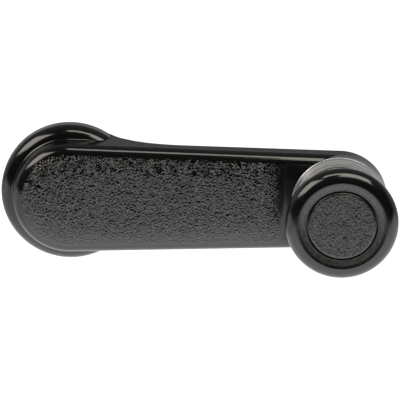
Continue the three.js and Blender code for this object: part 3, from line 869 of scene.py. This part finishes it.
def collar():
    """The fixed collar: a chamfered lip, a flaring side with fine grooves, and a rounded rim."""
    edge = COLLAR_EDGE
    profile = [(COLLAR_BORE_R, COLLAR_BASE)]
    profile += arc(COLLAR_R - edge, COLLAR_BASE + edge, edge, edge, -90, 0, 3)
    profile += [(COLLAR_R - inward, COLLAR_BASE + up) for inward, up in COLLAR_LIP]
    flare = COLLAR_R - CONE_IN - COLLAR_TOP_R
    for i in range(1, CONE_ROWS + 1):
        share = i / CONE_ROWS
        groove = GROOVE if i in GROOVE_ROWS else 0.0
        height = lerp(COLLAR_BASE + CONE_UP, COLLAR_RIM - RIM_ROUND, share)
        radius = COLLAR_TOP_R + flare * (1 - share) ** COLLAR_CURVE
        profile.append((radius - groove, height))
    rim_r, rim_h = COLLAR_TOP_R - RIM_ROUND, COLLAR_RIM - RIM_ROUND
    profile += arc(rim_r, rim_h, RIM_ROUND, RIM_ROUND, 0, 90, ROUND_ROWS)[1:]
    inner_r = COLLAR_TOP_R - COLLAR_WALL
    profile += [
        (inner_r, COLLAR_RIM), (inner_r, COLLAR_FLOOR), (COLLAR_BOSS_R, COLLAR_FLOOR),
        (COLLAR_BOSS_R, COLLAR_BOSS_H), (COLLAR_BORE_R, COLLAR_BOSS_H),
    ]

    def slot_of(row):
        """Painted shade of the parting line, on the rim's round and just below it."""
        (r0, h0), (r1, h1) = profile[row], profile[(row + 1) % len(profile)]
        return int(min(h0, h1) > COLLAR_RIM - SHADE_DOWN and min(r0, r1) > inner_r - SLACK)

    obj = turned("knob_collar_flared", profile, [COLLAR, PARTING_SHADE], COLLAR_SIDES, slot_of)
    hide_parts("knob_collar")
    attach(obj, "arm")


arm_moulding()
neck = neck_curve()
knob_ring(neck)
knob_grip(neck)
cap_disc()
collar()


# Metal and nylon pieces: the solids stay, with softened edges and their own finishes


def dress(node, mat, bevel):
    obj = nodes[node]
    obj.data.materials.clear()
    obj.data.materials.append(mat)
    soften = obj.modifiers.new("soften", "BEVEL")
    soften.width = bevel * MM
    soften.segments = 3
    soften.limit_method = "ANGLE"
    soften.angle_limit = math.radians(35)
    soften.harden_normals = True


for node, mat, bevel in (
    ("arm_core", CORE, 0.15),
    ("hub_insert", ZINC, 0.1),
    ("retaining_clip", SPRING, 0.25),
    ("core_screw_inner", PLATED, 0.1),
    ("core_screw_outer", PLATED, 0.1),
    ("knob_pin", TURNED, 0.15),
    ("pin_washer", PLATED, 0.12),
    ("thrust_washer", NYLON, 0.1),
    ("wave_washer", SPRING, 0.08),
    ("push_nut", SPRING, 0.08),
    ("knob_bush", NYLON, 0.1),
):
    dress(node, mat, bevel)


# Stage, light and camera, in metres

HANDLE = Vector((0.047, -0.02, 0.0))  # middle of the handle
COOL = (0.93, 0.965, 1.0)
CREAM = (1.0, 0.94, 0.84)

FLOOR_HALF, FLOOR_Z = 6.0, -0.095
FLOOR_GREY = (0.82, 0.82, 0.82, 1)
FLOOR_GLOW = 0.9  # what brings the floor up to white where the camera sees it
# What the table adds in reflections, and the stretches over which it changes
FAR_SHINE, NEAR_SHINE, FRONT_FADE = 0.1, 1.15, (-0.42, -0.24)
LEFT_SHINE, LEFT_FADE = 0.5, (-0.17, -0.05)
BACK_SHINE, BACK_FADE = 0.3, (0.0, 0.25)
ROOM_DARK, ROOM_FADE = 0.015, (-0.46, -0.32)  # the dark room out in front of the table

# The room, by direction from the handle
WALL_LOW, WALL_HIGH, WALL_FADE = 0.5, 0.18, (0.25, 0.5)
FRONT_DARK, TURN_FADE = 0.025, (-0.3, 0.35)

RADIANCE = 4.2
CAMERA_AWAY = 0.9964
CAMERA_AIM = Vector((46.81, 0, -4.07)) * MM
CAMERA_TURN, CAMERA_RISE, CAMERA_ROLL = 0.5, 15.8, 0.51  # degrees


def floor():
    """A plain white table below the handle, which ends in a dark room out in front."""
    mesh = bpy.data.meshes.new("floor")
    corners = ((-1, -1), (1, -1), (1, 1), (-1, 1))
    points = [(x * FLOOR_HALF, y * FLOOR_HALF, FLOOR_Z) for x, y in corners]
    mesh.from_pydata(points, [], [(0, 1, 2, 3)])
    mat, bsdf, n = new_material("pale_floor")
    bsdf.inputs["Base Color"].default_value = FLOOR_GREY
    bsdf.inputs["Roughness"].default_value = 0.9
    bsdf.inputs["Specular IOR Level"].default_value = 0.1

    rays, axes = n.rays(), n.axes()
    in_gloss = rays["Is Glossy Ray"]
    shine = n.ramp(axes["Y"], *FRONT_FADE, FAR_SHINE, NEAR_SHINE)
    shine = n.math("MULTIPLY", shine, n.ramp(axes["X"], *LEFT_FADE, LEFT_SHINE, 1.0))
    shine = n.math("MULTIPLY", shine, n.ramp(axes["Y"], *BACK_FADE, 1.0, BACK_SHINE))
    seen = n.math("MAXIMUM", rays["Is Camera Ray"], rays["Is Transmission Ray"])
    white = n.math("MULTIPLY", seen, FLOOR_GLOW)
    strength = n.math("ADD", white, n.math("MULTIPLY", in_gloss, shine))
    glow = n.glow(strength, n.mix(in_gloss, (1.0, 1.0, 1.0), COOL))

    lit = n.tree.nodes.new("ShaderNodeAddShader")
    n.link(bsdf.outputs["BSDF"], lit.inputs[0])
    n.link(glow, lit.inputs[1])
    mix = n.tree.nodes.new("ShaderNodeMixShader")
    n.link(n.math("MULTIPLY", in_gloss, n.ramp(axes["Y"], *ROOM_FADE, 1.0, 0.0)), mix.inputs[0])
    n.link(lit.outputs["Shader"], mix.inputs[1])
    n.link(n.glow(ROOM_DARK), mix.inputs[2])
    out = next(node for node in n.tree.nodes if node.type == "OUTPUT_MATERIAL")
    n.link(mix.outputs["Shader"], out.inputs["Surface"])

    mesh.materials.append(mat)
    obj = bpy.data.objects.new("floor", mesh)
    bpy.context.collection.objects.link(obj)


def world():
    """A dim room: dark out in front of the handle, and a lighter wall low down behind it."""
    made = bpy.data.worlds.new("room")
    bpy.context.scene.world = made
    made.use_nodes = True
    tree = made.node_tree
    tree.nodes.clear()
    n = Nodes(tree, "Generated")
    axes = n.axes()
    behind = n.ramp(axes["Z"], *WALL_FADE, WALL_LOW, WALL_HIGH)
    room = n.ramp(axes["Y"], *TURN_FADE, FRONT_DARK, behind)
    back = tree.nodes.new("ShaderNodeBackground")
    n.link(n.math("MAXIMUM", room, n.rays()["Is Camera Ray"]), back.inputs["Strength"])
    out = tree.nodes.new("ShaderNodeOutputWorld")
    n.link(back.outputs["Background"], out.inputs["Surface"])


def softbox(name, stand, aim, width, height):
    """A rectangular lamp of the common radiance at a place in metres, facing a point."""
    lamp = bpy.data.lights.new(name, "AREA")
    lamp.shape = "RECTANGLE"
    lamp.size, lamp.size_y = width, height
    lamp.energy = RADIANCE * math.pi * width * height
    lamp.color = CREAM
    obj = bpy.data.objects.new(name, lamp)
    obj.location = stand
    obj.rotation_euler = (Vector(stand) - Vector(aim)).to_track_quat("Z", "Y").to_euler()
    obj.visible_camera = False
    bpy.context.collection.objects.link(obj)


def camera():
    """The photograph's view: a long lens, square on, looking a little down."""
    data = bpy.data.cameras.new("camera")
    data.sensor_width = 36
    data.lens = 247.5
    data.clip_start, data.clip_end = 0.05, 50
    turn, rise = math.radians(CAMERA_TURN), math.radians(CAMERA_RISE)
    roll = math.radians(CAMERA_ROLL)
    back = Vector((
        math.sin(turn) * math.cos(rise), -math.cos(turn) * math.cos(rise), math.sin(rise),
    ))
    level = Vector((math.cos(turn), math.sin(turn), 0))
    right = level * math.cos(roll) + back.cross(level) * math.sin(roll)
    look = Matrix((right, back.cross(right), back)).transposed().to_4x4()
    look.translation = CAMERA_AIM + back * CAMERA_AWAY
    obj = bpy.data.objects.new("camera", data)
    obj.matrix_world = look
    bpy.context.collection.objects.link(obj)
    bpy.context.scene.camera = obj


floor()
world()
far_left = HANDLE + Vector((-0.69, -0.34, 0.6)).normalized() * 1.3
softbox("softbox_left", far_left, HANDLE, 1.0, 0.7)
softbox("softbox_right", (0.14, -0.1, 0.245), (0.14, -0.02, 0.01), 0.32, 0.06)
softbox("softbox_right_end", (0.195, -0.165, 0.22), (0.195, -0.02, 0.01), 0.21, 0.09)
camera()

scene = bpy.context.scene
scene.view_settings.view_transform = "Standard"
